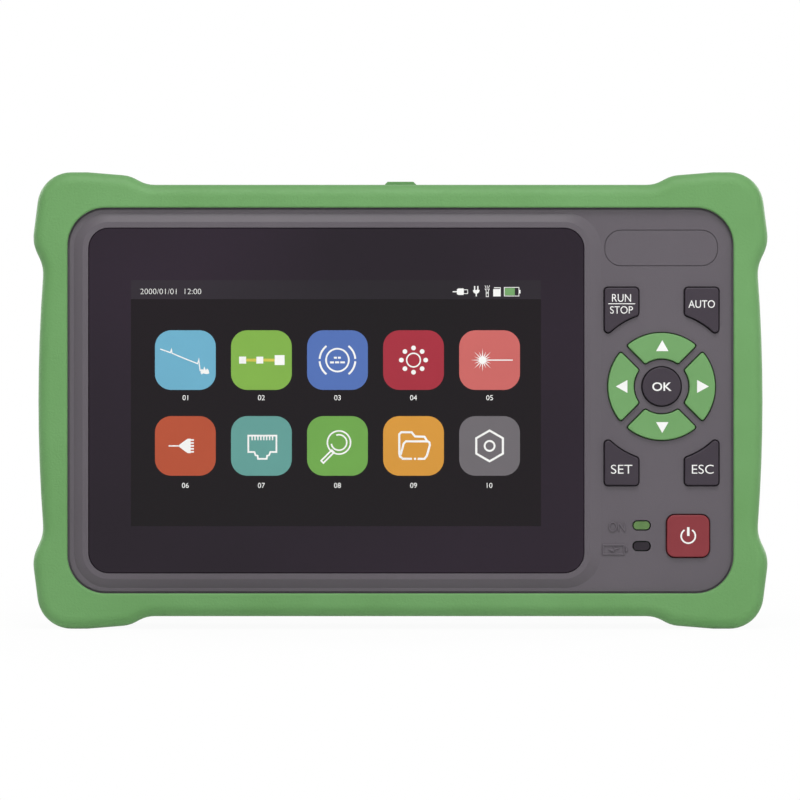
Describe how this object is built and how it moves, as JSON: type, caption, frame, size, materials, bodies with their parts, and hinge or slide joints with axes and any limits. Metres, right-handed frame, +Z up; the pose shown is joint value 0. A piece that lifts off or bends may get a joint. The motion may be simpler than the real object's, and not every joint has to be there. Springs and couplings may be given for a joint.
{
  "type": "optical time domain reflectometer",
  "caption": "Hand-held fibre test set in a green rubber boot: large touch screen, keypad with a round cursor ring, hinged connector cover, folding stand and side socket flap.",
  "frame": {"origin": "Middle of the lower edge, where the instrument stands upright on its rubber boot; Z up, the screen facing -Y, X to the right seen from in front.", "axes": "X runs along the instrument's long side, Y through its depth from screen to back, Z up from its lower edge to its top edge."},
  "size_m": [0.1936, 0.0468, 0.1204],
  "materials": {
    "boot_rubber": "soft matt green rubber, lightly satin on its rounded edges",
    "shell_grey": "fine-grained warm grey moulded plastic",
    "gasket": "black silicone",
    "steel": "zinc-plated steel",
    "brass": "turned brass",
    "screen_glass": "dark smoked touch glass with a printed rear border",
    "tape": "black adhesive foam",
    "lcd": "display with plain coloured tiles",
    "bracket": "stamped sheet",
    "key_dark": "silky dark silicone",
    "key_green": "silky green silicone",
    "key_red": "silky red silicone",
    "mat": "silicone keypad mat",
    "board": "green solder mask on glass-fibre board",
    "lens_green": "diffusing green lens",
    "lens_dark": "diffusing dark lens",
    "plate_grey": "bare adhesive plate",
    "stand_plastic": "fine-grained dark grey moulded plastic",
    "pack_wrap": "shrink wrap",
    "bezel_plastic": "dark moulded plastic",
    "nickel": "nickel-plated turned metal",
    "jack_plastic": "black moulded plastic",
    "module_case": "bead-blasted cast housing",
    "fibre": "yellow jacketed fibre",
    "lens_clear": "clear moulded lens",
    "lamp": "white lamp body",
    "black_plastic": "black moulded plastic"
  },
  "bodies": {
    "case": {"boot": "boot_rubber", "front_shell": "shell_grey", "rear_shell": "shell_grey", "case_gasket": "gasket", "case_screws": "steel", "threaded_inserts": "brass", "touch_glass": "screen_glass", "glass_tape": "tape", "lcd_panel": "lcd", "display_bracket": "bracket", "display_screws": "steel", "keypad_mat": "mat", "key_board": "board", "keypad_screws": "steel", "led_on_lens": "lens_green", "led_charge_lens": "lens_dark", "name_plate": "plate_grey", "kickstand_pin": "steel", "battery_cover": "stand_plastic", "battery_cover_screws": "steel", "battery_pack": "pack_wrap", "port_bezel": "bezel_plastic", "fibre_plate": "bracket", "jack_plate": "bracket", "cover_pin": "steel", "otdr_adapter": "nickel", "vfl_adapter": "nickel", "opm_adapter": "nickel", "vfl_laser": "brass", "opm_detector": "nickel", "otdr_module": "module_case", "fibre_coil": "fibre", "rj45_jack_1": "jack_plastic", "rj45_jack_2": "jack_plastic", "port_board": "board", "usb_a_port": "steel", "usb_c_port": "steel", "card_slot": "steel", "torch_lens": "lens_clear", "torch_led": "lamp", "main_board": "board", "main_board_screws": "steel", "shield_cans": "steel", "buzzer": "black_plastic", "coin_cell": "steel"},
    "key_run_stop_body": {"key_run_stop": "key_dark"},
    "key_auto_body": {"key_auto": "key_dark"},
    "key_set_body": {"key_set": "key_dark"},
    "key_esc_body": {"key_esc": "key_dark"},
    "key_right_body": {"key_right": "key_green"},
    "key_up_body": {"key_up": "key_green"},
    "key_left_body": {"key_left": "key_green"},
    "key_down_body": {"key_down": "key_green"},
    "key_ok_body": {"key_ok": "key_dark"},
    "key_power_body": {"key_power": "key_red"},
    "port_cover_body": {"port_cover": "boot_rubber"},
    "kickstand_body": {"kickstand": "stand_plastic"},
    "side_flap_body": {"side_flap": "boot_rubber"}
  },
  "joints": [
    {"name": "press_run_stop", "type": "slide", "parent": "case", "child": "key_run_stop_body", "axis": [0, 1, 0], "range_m": [0, 0.0008], "stiffness_N_per_m": 2000},
    {"name": "press_auto", "type": "slide", "parent": "case", "child": "key_auto_body", "axis": [0, 1, 0], "range_m": [0, 0.0008], "stiffness_N_per_m": 2000},
    {"name": "press_set", "type": "slide", "parent": "case", "child": "key_set_body", "axis": [0, 1, 0], "range_m": [0, 0.0008], "stiffness_N_per_m": 2000},
    {"name": "press_esc", "type": "slide", "parent": "case", "child": "key_esc_body", "axis": [0, 1, 0], "range_m": [0, 0.0008], "stiffness_N_per_m": 2000},
    {"name": "press_right", "type": "slide", "parent": "case", "child": "key_right_body", "axis": [0, 1, 0], "range_m": [0, 0.0008], "stiffness_N_per_m": 2000},
    {"name": "press_up", "type": "slide", "parent": "case", "child": "key_up_body", "axis": [0, 1, 0], "range_m": [0, 0.0008], "stiffness_N_per_m": 2000},
    {"name": "press_left", "type": "slide", "parent": "case", "child": "key_left_body", "axis": [0, 1, 0], "range_m": [0, 0.0008], "stiffness_N_per_m": 2000},
    {"name": "press_down", "type": "slide", "parent": "case", "child": "key_down_body", "axis": [0, 1, 0], "range_m": [0, 0.0008], "stiffness_N_per_m": 2000},
    {"name": "press_ok", "type": "slide", "parent": "case", "child": "key_ok_body", "axis": [0, 1, 0], "range_m": [0, 0.0008], "stiffness_N_per_m": 2000},
    {"name": "press_power", "type": "slide", "parent": "case", "child": "key_power_body", "axis": [0, 1, 0], "range_m": [0, 0.0008], "stiffness_N_per_m": 2000},
    {"name": "port_cover_hinge", "type": "hinge", "parent": "case", "child": "port_cover_body", "pos_m": [0, 0.0155, 0.1153], "axis": [-1, 0, 0], "range_deg": [0, 100]},
    {"name": "kickstand_hinge", "type": "hinge", "parent": "case", "child": "kickstand_body", "pos_m": [0, 0.0198, 0.0872], "axis": [1, 0, 0], "range_deg": [0, 55]},
    {"name": "side_flap_hinge", "type": "hinge", "parent": "case", "child": "side_flap_body", "pos_m": [0.09444, 0.006, 0.0694], "axis": [0, -1, 0], "range_deg": [0, 100]}
  ]
}
